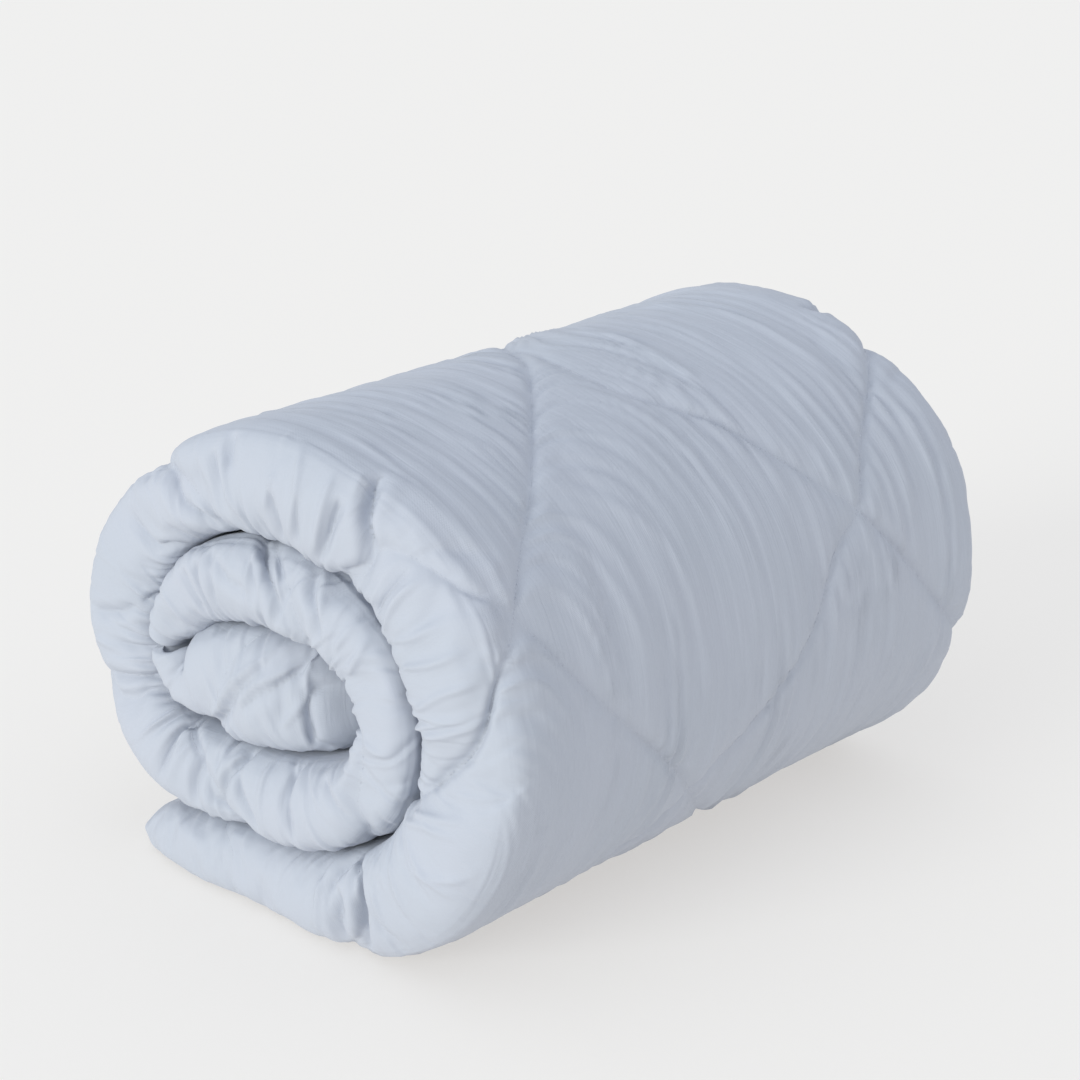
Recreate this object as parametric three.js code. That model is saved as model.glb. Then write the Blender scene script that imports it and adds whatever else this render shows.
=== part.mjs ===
// A rolled mattress protector: one padded, quilted sheet, folded lengthways in thirds and wound into
// a soft roll. The folded edges are the two ends of the roll, and the loose end lies tucked under it.
// Millimetres, +Z up. The roll lies along Y on its flat underside, whose middle is the origin. The
// path of the cloth is seen from the -Y end, with X to the right.

import * as THREE from "three";
import { mergeVertices } from "three/addons/utils/BufferGeometryUtils.js";

// Sizes of the roll
const ROLL_LENGTH = 610; // over both folded ends
const EDGE_DEPTH = 36; // how far each turn's rounded fold reaches beyond its straight part
const TIP_DEPTH = 30; // the same at the loose end and at the inner end
const TURN_GAP = 2.6; // air between one turn and the next
const BEND_FILL = 0.8; // share of a bend's inner radius that padding can fill
const SETTLED = 5; // how far the weight of the roll flattens its underside
const FACING = 0.55; // least cosine to a point that counts as lying on one side of the cloth
const OWN_TURN = 1.6; // points nearer along the cloth than this many thicknesses are the same turn
const EASE_SAMPLES = 8; // how far a narrow place tapers, in fine samples

// Diamond quilting, on the flat sheet: along the wound length and along the roll
const DIAMOND_WOUND = 360; // from corner to corner
const DIAMOND_ALONG = 396;
const DIAMOND_MIDDLE = { wound: 530, along: -35 }; // centre of the diamond that faces the viewer
const SEAM_DEPTH = 9; // how far the stitching draws the padding in
const SEAM_REACH = 30; // half the width of the hollow that it leaves
const EDGE_PULL = 1.1; // a seam that crosses a fold draws the fold in by this share of its depth
const MOST_PULL = 1 / 3; // no seam takes more than this share of the padding

// The folded edges aren't level: this wave runs along the wound cloth
const WAVE = { height: 5, length: 430, second: 3, secondLength: 145 };
const CORNER = { reach: 70, cut: 26 }; // rounding of the sheet's corners at both of its ends
const TIP_SQUARENESS = 8; // how squarely the rounded loose end runs out to its corners

// Steps of the mesh
const STEPS_PER_SECTION = 4;
const FINE_STEPS = 4; // finer still where the room between turns is measured
const LENGTH_STEPS = 16;
const THICKNESS_STEPS = 6;
const ON_FACE = 0.9999; // a box point this far out lies on the face, for all its rounding
const MERGE_WITHIN = 1e-4;

const COLOUR = 0xc9cedb;

// One row for each section of the wound cloth, from the loose outer end inwards and anticlockwise:
// x and z of the middle of its thickness, and how thick it is there.
const SECTIONS = [
  { x: -158, z: 29, thick: 55 }, // loose end, flat on the ground
  { x: -120, z: 31, thick: 60 },
  { x: -48, z: 36, thick: 71 },
  { x: 24, z: 40, thick: 78 },
  { x: 90, z: 62, thick: 86 }, // outer turn, up the right side
  { x: 144, z: 103, thick: 94 },
  { x: 176, z: 158, thick: 96 },
  { x: 182, z: 221, thick: 96 },
  { x: 164, z: 282, thick: 96 },
  { x: 120, z: 329, thick: 91 }, // over the top
  { x: 54, z: 356, thick: 89 },
  { x: -18, z: 364, thick: 87 },
  { x: -86, z: 349, thick: 84 },
  { x: -148, z: 312, thick: 82 }, // down the left side
  { x: -192, z: 257, thick: 80 },
  { x: -207, z: 196, thick: 79 },
  { x: -188, z: 140, thick: 79 },
  { x: -134, z: 106, thick: 79 }, // second turn, along its bottom
  { x: -54, z: 107, thick: 77 },
  { x: 26, z: 118, thick: 72 },
  { x: 77, z: 149, thick: 67 },
  { x: 96, z: 199, thick: 67 },
  { x: 82, z: 248, thick: 70 },
  { x: 34, z: 277, thick: 72 },
  { x: -36, z: 284, thick: 70 },
  { x: -94, z: 271, thick: 62 },
  { x: -134, z: 240, thick: 43 },
  { x: -154, z: 206, thick: 26 }, // pinched fold on the left
  { x: -130, z: 182, thick: 52 },
  { x: -84, z: 190, thick: 84 }, // plump core
  { x: -30, z: 194, thick: 91 },
  { x: 23, z: 197, thick: 89 }, // inner end
];

// Samples of the path, the same number between each two sections. Each holds its place, how far
// along the cloth it lies, the outward direction across the cloth and the full thickness.
function samplePath(stepsPerSection) {
  const middle = new THREE.CatmullRomCurve3(
    SECTIONS.map(({ x, z }) => new THREE.Vector3(x, 0, z)),
    false,
    "centripetal",
  );
  const spans = SECTIONS.length - 1;
  const steps = spans * stepsPerSection;
  const samples = [];
  let wound = 0;
  for (let i = 0; i <= steps; i++) {
    const place = middle.getPoint(i / steps);
    const tangent = middle.getTangent(i / steps);
    const row = Math.min(Math.floor(i / stepsPerSection), spans - 1);
    const share = i / stepsPerSection - row;
    if (i > 0) wound += place.distanceTo(samples[i - 1].place);
    samples.push({
      place,
      tangent,
      outward: new THREE.Vector3(tangent.z, 0, -tangent.x),
      wound,
      thick: THREE.MathUtils.lerp(SECTIONS[row].thick, SECTIONS[row + 1].thick, share),
    });
  }
  return samples;
}

// Signed bend of the path at a sample, in radians for each millimetre. Positive turns left.
function bendAt(samples, i) {
  const before = samples[Math.max(i - 1, 0)];
  const after = samples[Math.min(i + 1, samples.length - 1)];
  const turned = before.tangent.x * after.tangent.z - before.tangent.z * after.tangent.x;
  return Math.asin(THREE.MathUtils.clamp(turned, -1, 1)) / (after.wound - before.wound);
}

// How far the padding reaches from the path on one side: half its thickness, or less where the
// next turn shares the room or where a tight bend pinches it. side is 1 outward and -1 inward.
function reachOn(samples, i, side) {
  const here = samples[i];
  let reach = here.thick / 2;
  for (const other of samples) {
    if (Math.abs(other.wound - here.wound) < here.thick * OWN_TURN) continue;
    const apart = other.place.clone().sub(here.place);
    const distance = apart.length();
    if (side * apart.dot(here.outward) < FACING * distance) continue;
    const share = here.thick / (here.thick + other.thick);
    reach = Math.min(reach, (distance - TURN_GAP) * share);
  }
  const inside = side * -bendAt(samples, i);
  if (inside > 0) reach = Math.min(reach, BEND_FILL / inside);
  return reach;
}

// The smaller of a value and the weighted mean round it, so that narrow places taper.
function eased(values, i) {
  let sum = 0;
  let weights = 0;
  for (let k = -EASE_SAMPLES; k <= EASE_SAMPLES; k++) {
    const weight = 1 + Math.cos((Math.PI * k) / (EASE_SAMPLES + 1));
    const near = THREE.MathUtils.clamp(i + k, 0, values.length - 1);
    sum += values[near] * weight;
    weights += weight;
  }
  return Math.min(values[i], sum / weights);
}

// The sections that the mesh uses, with the room on both sides measured on finer samples.
function layerStations() {
  const fine = samplePath(STEPS_PER_SECTION * FINE_STEPS);
  const outer = fine.map((_, i) => reachOn(fine, i, 1));
  const inner = fine.map((_, i) => reachOn(fine, i, -1));
  const stations = [];
  for (let i = 0; i < fine.length; i += FINE_STEPS) {
    stations.push({ ...fine[i], outer: eased(outer, i), inner: eased(inner, i) });
  }
  return stations;
}

// How far the nearest seam draws the padding in, at a place on the flat sheet.
function seamPull(wound, along) {
  const u = (wound - DIAMOND_MIDDLE.wound) / DIAMOND_WOUND;
  const v = (along - DIAMOND_MIDDLE.along) / DIAMOND_ALONG;
  const toSeam = (w) => Math.abs(w - Math.floor(w) - 0.5);
  const side = 1 / Math.hypot(1 / DIAMOND_WOUND, 1 / DIAMOND_ALONG);
  const distance = Math.min(toSeam(u + v), toSeam(u - v)) * side;
  return SEAM_DEPTH * Math.exp(-((distance / SEAM_REACH) ** 2));
}

// How far a turn's folded edge stands back from the end of the roll. The corners of the sheet, at
// its loose end and its inner end, are rounded.
function edgeSetback(wound, fullWound) {
  const first = WAVE.height * (1 + Math.sin((2 * Math.PI * wound) / WAVE.length));
  const second = WAVE.second * (1 + Math.cos((2 * Math.PI * wound) / WAVE.secondLength));
  const toEnd = Math.min(wound, fullWound - wound);
  const near = Math.max(1 - toEnd / CORNER.reach, 0);
  return (first + second) / 2 + CORNER.cut * near ** 2;
}

// Places one point of a unit box on the wound cloth. along runs from -1 to 1 over the roll's length
// and across from -1 (inner face) to 1 (outer face). atEdge marks a folded edge, and tip is -1 at
// the loose end, 1 at the inner end and 0 elsewhere.
function placeOnCloth(station, fullWound, along, across, atEdge, tip) {
  const rounded = atEdge || tip !== 0;
  const angle = (across * Math.PI) / 2;
  const height = rounded ? Math.sin(angle) : across;
  const bulge = rounded ? Math.cos(angle) : 0;
  const straight = ROLL_LENGTH / 2 - EDGE_DEPTH - edgeSetback(station.wound, fullWound);
  const pull = seamPull(station.wound, along * (straight + EDGE_DEPTH));
  const edge = (EDGE_DEPTH - EDGE_PULL * pull) * bulge;
  const y = along * (straight + edge);
  const reach = height > 0 ? station.outer : station.inner;
  const point = station.place.clone();
  const drawnIn = Math.min(pull, reach * MOST_PULL);
  point.addScaledVector(station.outward, height * (reach - drawnIn));
  if (tip !== 0 && !atEdge) {
    const corner = Math.sqrt(1 - Math.abs(along) ** TIP_SQUARENESS);
    point.addScaledVector(station.tangent, tip * TIP_DEPTH * bulge * corner);
  }
  return new THREE.Vector3(point.x, y, Math.max(point.z - SETTLED, 0));
}

// The wound layer as one closed body: a box whose long side is bent round the path.
function woundLayer() {
  const stations = layerStations();
  const last = stations.length - 1;
  const fullWound = stations[last].wound;
  const box = new THREE.BoxGeometry(1, 1, 1, last, LENGTH_STEPS, THICKNESS_STEPS);
  const position = box.getAttribute("position");
  for (let i = 0; i < position.count; i++) {
    // The box's long side runs from the inner end to the loose end, so that its faces stay outward.
    const station = stations[Math.round((0.5 - position.getX(i)) * last)];
    const along = 2 * position.getY(i);
    const across = 2 * position.getZ(i);
    const atEdge = Math.abs(along) > ON_FACE;
    let tip = 0;
    if (station === stations[0]) tip = -1;
    if (station === stations[last]) tip = 1;
    if (Math.abs(across) > ON_FACE) tip = 0;
    const point = placeOnCloth(station, fullWound, along, across, atEdge, tip);
    position.setXYZ(i, point.x, point.y, point.z);
  }
  box.deleteAttribute("normal");
  box.deleteAttribute("uv");
  const layer = mergeVertices(box, MERGE_WITHIN);
  layer.computeBoundingBox();
  const centre = layer.boundingBox.getCenter(new THREE.Vector3());
  layer.translate(-centre.x, -centre.y, 0);
  layer.computeVertexNormals();
  return layer;
}

const protector = new THREE.Mesh(
  woundLayer(),
  new THREE.MeshStandardMaterial({ color: COLOUR, roughness: 0.85, metalness: 0 }),
);
protector.name = "rolled_protector";

const part = new THREE.Group();
part.add(protector);

export default part;
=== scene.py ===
import math
import bmesh
import bpy
import numpy as np
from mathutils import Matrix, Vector
from mathutils.bvhtree import BVHTree
from mathutils.interpolate import poly_3d_calc


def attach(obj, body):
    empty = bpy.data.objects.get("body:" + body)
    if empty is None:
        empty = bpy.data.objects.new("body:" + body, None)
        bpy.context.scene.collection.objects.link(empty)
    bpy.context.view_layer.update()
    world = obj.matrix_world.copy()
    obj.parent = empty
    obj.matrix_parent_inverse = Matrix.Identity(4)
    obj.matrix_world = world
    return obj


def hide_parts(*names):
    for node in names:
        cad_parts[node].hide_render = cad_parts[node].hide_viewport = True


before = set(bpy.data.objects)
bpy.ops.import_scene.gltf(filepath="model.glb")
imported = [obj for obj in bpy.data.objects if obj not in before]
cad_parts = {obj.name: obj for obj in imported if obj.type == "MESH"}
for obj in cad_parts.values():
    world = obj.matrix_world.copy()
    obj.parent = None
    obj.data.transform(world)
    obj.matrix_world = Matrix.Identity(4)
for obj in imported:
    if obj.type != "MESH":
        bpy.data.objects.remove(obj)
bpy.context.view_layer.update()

# THE WOUND SHEET: its path
# The protector is a wide cotton sheet with fibre padding, folded lengthways in thirds and wound by
# hand from its far end, so the turns squeeze each other and the loose end lies under the roll.
# Millimetres: x and z of the middle of the thickness, and how thick it is, from the loose end in.
SECTIONS = np.array([
    (-192, 20, 33), (-158, 27, 50), (-120, 31, 60), (-48, 36, 71), (24, 40, 79),  # loose end
    (90, 62, 89), (144, 103, 94), (176, 158, 96), (182, 221, 96), (164, 282, 96),  # up the right
    (120, 329, 91), (54, 356, 89), (-18, 364, 87), (-85, 347, 81),  # over the top
    (-144, 307, 80), (-186, 255, 88), (-200, 196, 90), (-182, 144, 83),  # down the left
    (-134, 107, 78), (-54, 107, 77), (26, 118, 81),  # second turn, its bottom
    (77, 149, 76), (96, 199, 69), (82, 248, 70), (34, 277, 73), (-36, 284, 76), (-94, 271, 75),
    (-124, 241, 66), (-144, 207, 24),  # pinched fold on the left
    (-122, 181, 68), (-84, 190, 100), (-30, 194, 110), (23, 197, 102),  # plump core
], float)
ROLL_LENGTH = 610.0
EDGE_DEPTH = 36.0  # how far each rounded fold reaches beyond the straight part of its turn
LOOSE_TIP, INNER_TIP = 30.0, 30.0  # how far the sheet's own rounded ends reach
SHIFT_X = 7.86  # the path's x to the part's
SETTLED = 5.0  # how far the roll's weight flattens its underside
TURN_GAP = 0.6  # the turns press on each other


def smooth_step(low, high, value):
    t = np.clip((value - low) / (high - low), 0.0, 1.0)
    return t * t * (3.0 - 2.0 * t)


def path_samples(steps):
    """Place, tangent, distance along the cloth and thickness at even steps between the sections."""
    p = SECTIONS[:, :2]
    p = np.vstack([2 * p[0] - p[1], p, 2 * p[-1] - p[-2]])
    place, tangent, thick = [], [], []
    for i in range(len(SECTIONS) - 1):
        a, b, c, d = p[i:i + 4]
        ab, bc, cd = (math.sqrt(np.linalg.norm(v)) for v in (b - a, c - b, d - c))
        start = ((b - a) / ab - (c - a) / (ab + bc) + (c - b) / bc) * bc
        end = ((c - b) / bc - (d - b) / (bc + cd) + (d - c) / cd) * bc
        last = i == len(SECTIONS) - 2
        w = (np.arange(steps + last) / steps)[:, None]
        two = -3 * b + 3 * c - 2 * start - end
        three = 2 * b - 2 * c + start + end
        place.append(b + start * w + two * w ** 2 + three * w ** 3)
        tangent.append(start + 2 * two * w + 3 * three * w ** 2)
        thick.append(SECTIONS[i, 2] + (SECTIONS[i + 1, 2] - SECTIONS[i, 2]) * w[:, 0])
    place, tangent, thick = np.vstack(place), np.vstack(tangent), np.concatenate(thick)
    tangent /= np.linalg.norm(tangent, axis=1)[:, None]
    wound = np.concatenate([[0], np.cumsum(np.linalg.norm(np.diff(place, axis=0), axis=1))])
    return place, tangent, wound - wound[steps], thick  # counted from the second section


def room_beside(place, tangent, wound, thick, side):
    """How far the padding reaches from the path on one side: 1 is outward, -1 inward."""
    outward = np.stack([tangent[:, 1], -tangent[:, 0]], 1)
    apart = place[None] - place[:, None]
    distance = np.linalg.norm(apart, axis=2) + 1e-9
    facing = side * (apart * outward[:, None]).sum(2) >= 0.55 * distance
    other_turn = np.abs(wound[None] - wound[:, None]) >= 1.6 * thick[:, None]
    shared = (distance - TURN_GAP) * thick[:, None] / (thick[:, None] + thick[None])
    reach = np.minimum(thick / 2, np.where(facing & other_turn, shared, 1e9).min(1))
    order = np.arange(len(wound))
    before, after = np.maximum(order - 1, 0), np.minimum(order + 1, len(wound) - 1)
    turned = tangent[before, 0] * tangent[after, 1] - tangent[before, 1] * tangent[after, 0]
    bend = np.arcsin(np.clip(turned, -1, 1)) / (wound[after] - wound[before])
    inside = -side * bend
    reach = np.where(inside > 1e-6, np.minimum(reach, 0.8 / np.maximum(inside, 1e-6)), reach)
    weights = 1 + np.cos(np.pi * np.arange(-8, 9) / 9)
    held = np.pad(reach, 8, mode="edge")
    return np.minimum(reach, np.convolve(held, weights / weights.sum(), "valid"))


def edge_setback(wound, start, full):
    """How far a turn's folded edge stands back from the roll's end."""
    first = 5 * (1 + np.sin(2 * np.pi * wound / 430))
    second = 3 * (1 + np.cos(2 * np.pi * wound / 145))
    corner = np.maximum(1 - np.minimum(wound - start, full - wound) / 70, 0)
    return (first + second) / 2 + 17 * corner ** 2


# THE WOUND SHEET: its closed body
# Every row is one closed ring round the folded layer: outer face, rounded fold at the far end, inner
# face, rounded fold at the near end. Faces that the roll hides have wider columns.
ROW_STEP = 4.7
FOLD_STEPS = 14
OPEN_COLUMNS, TIP_COLUMNS, HIDDEN_COLUMNS = 72, 36, 12
place_s, tangent_s, wound_s, thick_s = path_samples(16)
outer_s = room_beside(place_s, tangent_s, wound_s, thick_s, 1)
inner_s = room_beside(place_s, tangent_s, wound_s, thick_s, -1)
START, FULL = wound_s[0], wound_s[-1]
ROWS = int(round((FULL - START) / ROW_STEP))


def softened(values, passes):
    for _ in range(passes):
        values = np.convolve(np.pad(values, 1, mode="edge"), (0.25, 0.5, 0.25), "valid")
    return values


outer_s, inner_s = softened(outer_s, 4), softened(inner_s, 4)
row_wound = np.linspace(START, FULL, ROWS + 1)
row_place = np.stack([np.interp(row_wound, wound_s, place_s[:, k]) for k in (0, 1)], 1)
row_tangent = np.stack([np.interp(row_wound, wound_s, tangent_s[:, k]) for k in (0, 1)], 1)
row_tangent /= np.linalg.norm(row_tangent, axis=1)[:, None]
row_outward = np.stack([row_tangent[:, 1], -row_tangent[:, 0]], 1)
row_outer = np.interp(row_wound, wound_s, outer_s)
row_inner = np.interp(row_wound, wound_s, inner_s)
row_straight = ROLL_LENGTH / 2 - EDGE_DEPTH - edge_setback(row_wound, START, FULL)
row_arc = math.pi * np.sqrt((EDGE_DEPTH ** 2 + ((row_outer + row_inner) / 2) ** 2) / 2)


def columns_of(row):
    """Number of columns on the outer and on the inner face of one row."""
    s = row_wound[row]
    if s < 46:
        return TIP_COLUMNS, TIP_COLUMNS
    return (OPEN_COLUMNS if 175 < s < 1330 else HIDDEN_COLUMNS), HIDDEN_COLUMNS


def fuller(angle):
    """A fold's outward and upward share at an angle round it, fuller than an ellipse."""
    c, s = math.cos(angle), math.sin(angle)
    return abs(c) ** 0.74, math.copysign(abs(s) ** 0.8, s)


def ring(row):
    """One row's points as (distance along the roll, height, unrolled place round the ring, turn),
    where height runs from -1 on the inner face to 1 on the outer one."""
    straight, arc = row_straight[row], row_arc[row]
    outer_columns, inner_columns = columns_of(row)
    rows = []
    for y in np.linspace(-straight, straight, outer_columns + 1):
        rows.append((y, 1.0, y, 0.0))
    for k in range(1, FOLD_STEPS):
        angle = math.pi / 2 - math.pi * k / FOLD_STEPS
        out, up = fuller(angle)
        rows.append((straight + EDGE_DEPTH * out, up, straight + arc * k / FOLD_STEPS, math.cos(angle)))
    for y in np.linspace(straight, -straight, inner_columns + 1):
        rows.append((y, -1.0, math.copysign(straight + arc + straight - abs(y), y + 1e-6), 0.0))
    for k in range(1, FOLD_STEPS):
        angle = -math.pi / 2 + math.pi * k / FOLD_STEPS
        out, up = fuller(angle)
        rows.append((-straight - EDGE_DEPTH * out, up, -straight - arc + arc * k / FOLD_STEPS,
                     math.cos(angle)))
    return rows


def place_point(row, y, height):
    reach = row_outer[row] if height > 0 else row_inner[row]
    x, z = row_place[row] + row_outward[row] * height * reach
    return x + SHIFT_X, y, z - SETTLED


points, facts, rings = [], [], []  # facts: wound, unrolled place round the ring, height, fold
for row in range(ROWS + 1):
    start = len(points)
    for y, height, round_ring, fold in ring(row):
        points.append(place_point(row, y, height))
        facts.append((row_wound[row], round_ring, height, fold))
    rings.append(np.arange(start, len(points)))


def parts_of(row):
    """Indices of one ring's outer face, far fold, inner face and near fold, ends shared."""
    outer_columns, inner_columns = columns_of(row)
    r = rings[row]
    a = outer_columns
    b = a + FOLD_STEPS
    c = b + inner_columns
    return r[:a + 1], r[a:b + 1], r[b:c + 1], np.append(r[c:], r[0])


faces = []


def bridge(near_row, far_row):
    """Faces between two runs of points, where one may have a whole number of times more columns."""
    m, n = len(near_row) - 1, len(far_row) - 1
    if m >= n:
        k = m // n
        for i in range(n):
            faces.append([*near_row[i * k:(i + 1) * k + 1], far_row[i + 1], far_row[i]])
    else:
        k = n // m
        for i in range(m):
            faces.append([near_row[i], near_row[i + 1], *far_row[i * k:(i + 1) * k + 1][::-1]])


for row in range(ROWS):
    for first, second in zip(parts_of(row), parts_of(row + 1)):
        bridge(first, second)


def close_tip(row, sign, depth, low):
    """The rounded end of the sheet: a grid between the outer face, both folds and the inner face.
    low is how far its edge lies towards the outer face, as a share of the thickness."""
    outer_run, far_fold, inner_run, near_fold = parts_of(row)
    columns = len(outer_run) - 1
    straight = row_straight[row]
    grid = np.zeros((FOLD_STEPS + 1, columns + 1), int)
    grid[0], grid[-1] = outer_run, inner_run[::-1]
    grid[:, -1], grid[:, 0] = far_fold, near_fold[::-1]
    for k in range(1, FOLD_STEPS):
        angle = math.pi / 2 - math.pi * k / FOLD_STEPS
        for i in range(1, columns):
            along = 2 * i / columns - 1
            edge = EDGE_DEPTH * math.cos(angle)
            y = along * (straight + edge)
            level = math.sin(angle) + low * math.cos(angle) ** 2
            x, _, z = place_point(row, y, level)
            out = depth * math.cos(angle) * math.sqrt(1 - abs(along) ** 12)
            grid[k, i] = len(points)
            forward = sign * out * row_tangent[row]
            points.append((x + forward[0], y, z + forward[1]))
            round_ring = along * (straight + row_arc[row] * k / FOLD_STEPS)
            facts.append((row_wound[row] + sign * out, round_ring, math.sin(angle), math.cos(angle)))
    for k in range(FOLD_STEPS):
        for i in range(columns):
            quad = [grid[k, i], grid[k + 1, i], grid[k + 1, i + 1], grid[k, i + 1]]
            faces.append(quad if sign < 0 else quad[::-1])


close_tip(0, -1, LOOSE_TIP, 0.5)
close_tip(ROWS, 1, INNER_TIP, 0.0)
points = np.array(points) / 1000.0
points[:, 2] = np.maximum(points[:, 2], 0.0)
facts = np.array(facts)


def in_scene(name, data):
    """A new object at the origin of the scene."""
    made = bpy.data.objects.new(name, data)
    bpy.context.scene.collection.objects.link(made)
    return made


sheet_mesh = bpy.data.meshes.new("rolled_protector_cloth")
sheet_mesh.from_pydata([tuple(p) for p in points], [], [[int(i) for i in f] for f in faces])
sheet_mesh.update()
sheet = in_scene("rolled_protector_cloth", sheet_mesh)

# THE WOUND SHEET: quilting seams and creases
# Lockstitched diamonds hold both covers together, so the padding rises in puffs between sunk seams.
# On the flat sheet: distance along the wound cloth, and place round the folded layer, where a fold
# at the near end starts at about -269 and its inner side ends at about -395. Millimetres.
SEAMS = [
    # rising from the near end as the cloth is wound on
    [(330, -425), (399, -358), (429, -333), (462, -306), (484, -287), (515, -254), (546, -220),
     (586, -164), (634, -105), (700, -32), (740, 0), (800, 62), (930, 232), (1000, 305), (1080, 400)],
    [(60, -425), (70, -361), (92, -333), (90, -294), (130, -262), (240, -175), (359, -62), (386, -19),
     (436, 56), (482, 98), (502, 140), (532, 172), (555, 205), (581, 247), (602, 274), (650, 335),
     (720, 425)],
    [(-30, -40), (139, 142), (290, 305), (350, 400)],
    [(740, -425), (779, -354), (783, -335), (800, -314), (829, -283), (930, -170), (1110, 34),
     (1290, 232), (1357, 305), (1440, 400)],
    [(1070, -425), (1112, -371), (1141, -340), (1180, -300), (1290, -165), (1470, 34), (1650, 232),
     (1717, 305), (1800, 400)],
    [(1440, -425), (1523, -305), (1650, -165), (1830, 34), (1960, 180)],
    # falling away from the near end
    [(300, -425), (246, -376), (252, -334), (225, -300), (100, -165), (-30, -30)],
    [(680, -425), (614, -352), (603, -340), (599, -320), (588, -308), (572, -297), (545, -279),
     (523, -254), (458, -191), (381, -89), (359, -62), (240, 75), (150, 175), (30, 305),
     (-30, 380)],
    [(1100, -425), (1044, -354), (1036, -309), (930, -170), (800, -40), (740, 0), (700, -9),
     (662, -9), (630, 0), (605, 25), (584, 47), (563, 65), (524, 107), (502, 140), (431, 221),
     (379, 288), (335, 340), (270, 425)],
    [(1430, -425), (1386, -345), (1370, -330), (1342, -320), (1324, -312), (1316, -290),
     (1300, -265), (1215, -150), (1110, 34), (930, 232), (863, 305), (790, 400)],
    [(1860, -425), (1777, -305), (1650, -165), (1470, 34), (1290, 232), (1223, 305), (1140, 400)],
    [(1960, -100), (1830, 34), (1650, 232), (1583, 305), (1500, 400)],
]
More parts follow.
